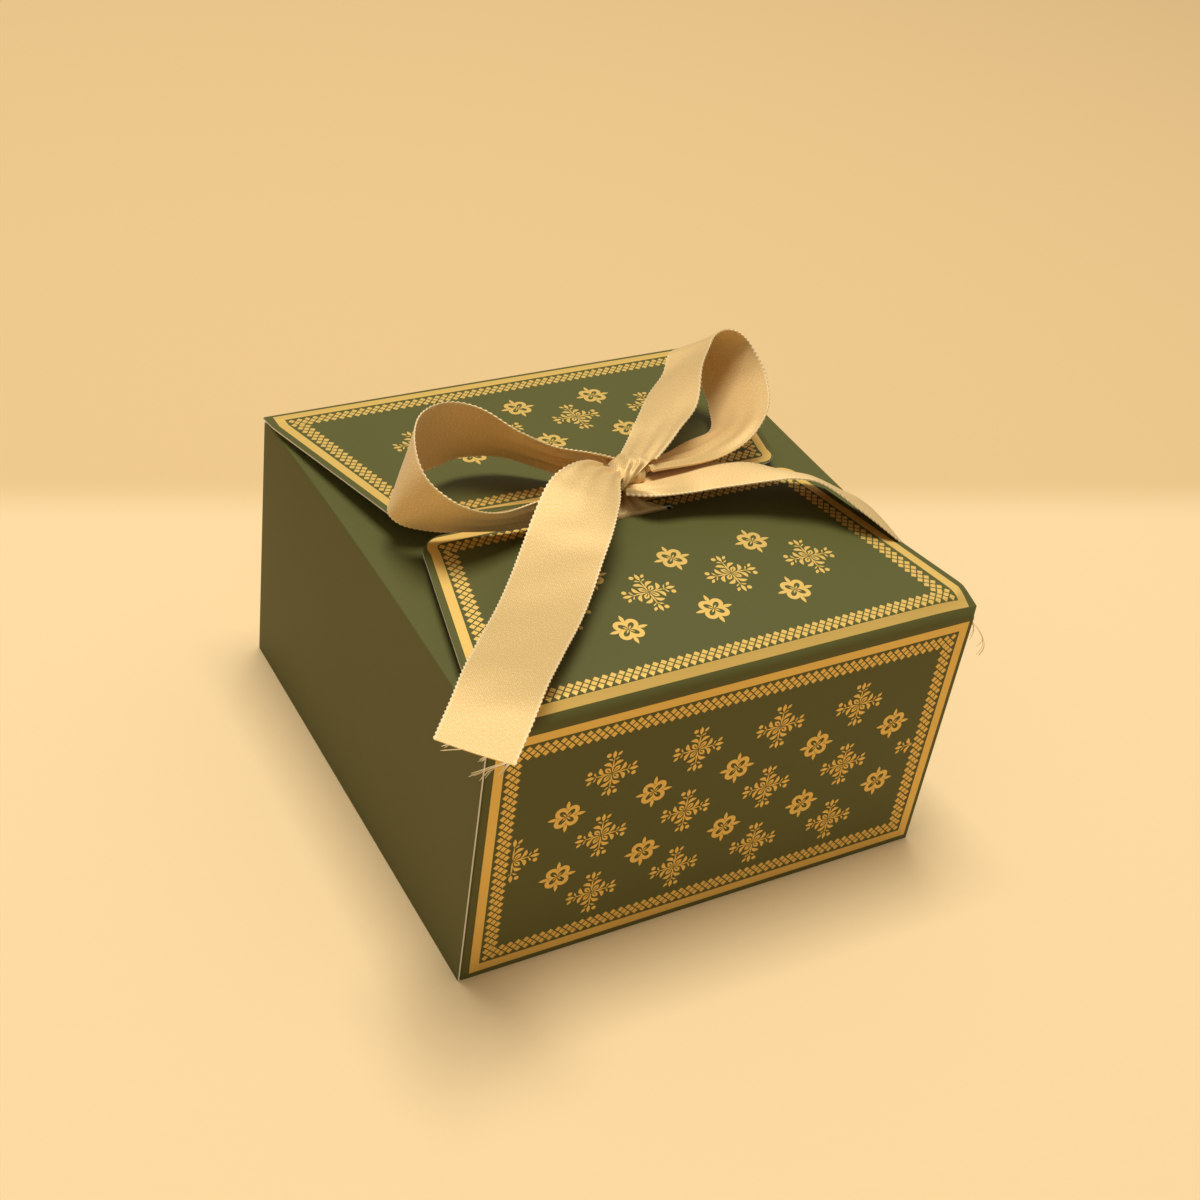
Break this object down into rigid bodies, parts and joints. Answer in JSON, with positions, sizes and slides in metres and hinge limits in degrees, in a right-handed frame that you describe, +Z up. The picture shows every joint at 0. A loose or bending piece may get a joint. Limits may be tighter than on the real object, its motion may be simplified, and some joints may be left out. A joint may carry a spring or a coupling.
{
  "type": "gift box with lid flaps and ribbon bow",
  "caption": "Square folded card hamper box with printed lid flaps tied shut by a satin ribbon bow that runs through slots in the lid.",
  "frame": {"origin": "middle of the base's underside, on the surface that the box stands on", "axes": "+Z up, -Y towards the front wall with the printed frame, +X to the right as seen from the front"},
  "size_m": [0.1945, 0.1938, 0.1379],
  "materials": {
    "card": "matte",
    "ribbon": "satin"
  },
  "bodies": {
    "carton": {"front_wall": "card", "back_wall": "card", "left_wall": "card", "right_wall": "card", "seam_glue_tab": "card", "base_front_flap": "card", "base_back_flap": "card", "base_left_flap": "card", "base_right_flap": "card"},
    "front_lid": {"front_lid_flap": "card", "ribbon_strap_front": "ribbon", "ribbon_knot": "ribbon", "bow_loop_left": "ribbon", "bow_loop_right": "ribbon", "ribbon_tail_front": "ribbon", "ribbon_tail_right": "ribbon", "front_tail_threads": "ribbon", "right_tail_threads": "ribbon"},
    "back_lid": {"back_lid_flap": "card", "ribbon_strap_back": "ribbon"},
    "left_dust": {"left_dust_flap": "card"},
    "right_dust": {"right_dust_flap": "card"}
  },
  "joints": [
    {"name": "front_lid_hinge", "type": "hinge", "parent": "carton", "child": "front_lid", "pos_m": [0, -0.085, 0.098], "axis": [1, 0, 0], "range_deg": [0, 105]},
    {"name": "back_lid_hinge", "type": "hinge", "parent": "carton", "child": "back_lid", "pos_m": [0, 0.085, 0.098], "axis": [-1, 0, 0], "range_deg": [0, 105]},
    {"name": "left_dust_hinge", "type": "hinge", "parent": "carton", "child": "left_dust", "pos_m": [-0.085, 0, 0.097], "axis": [0, -1, 0], "range_deg": [0, 95]},
    {"name": "right_dust_hinge", "type": "hinge", "parent": "carton", "child": "right_dust", "pos_m": [0.085, 0, 0.097], "axis": [0, 1, 0], "range_deg": [0, 95]}
  ],
  "couplings": [
    {"joint": "back_lid_hinge", "follows": "front_lid_hinge", "ratio": 1},
    {"joint": "left_dust_hinge", "follows": "front_lid_hinge", "ratio": 0.9},
    {"joint": "right_dust_hinge", "follows": "front_lid_hinge", "ratio": 0.9}
  ]
}
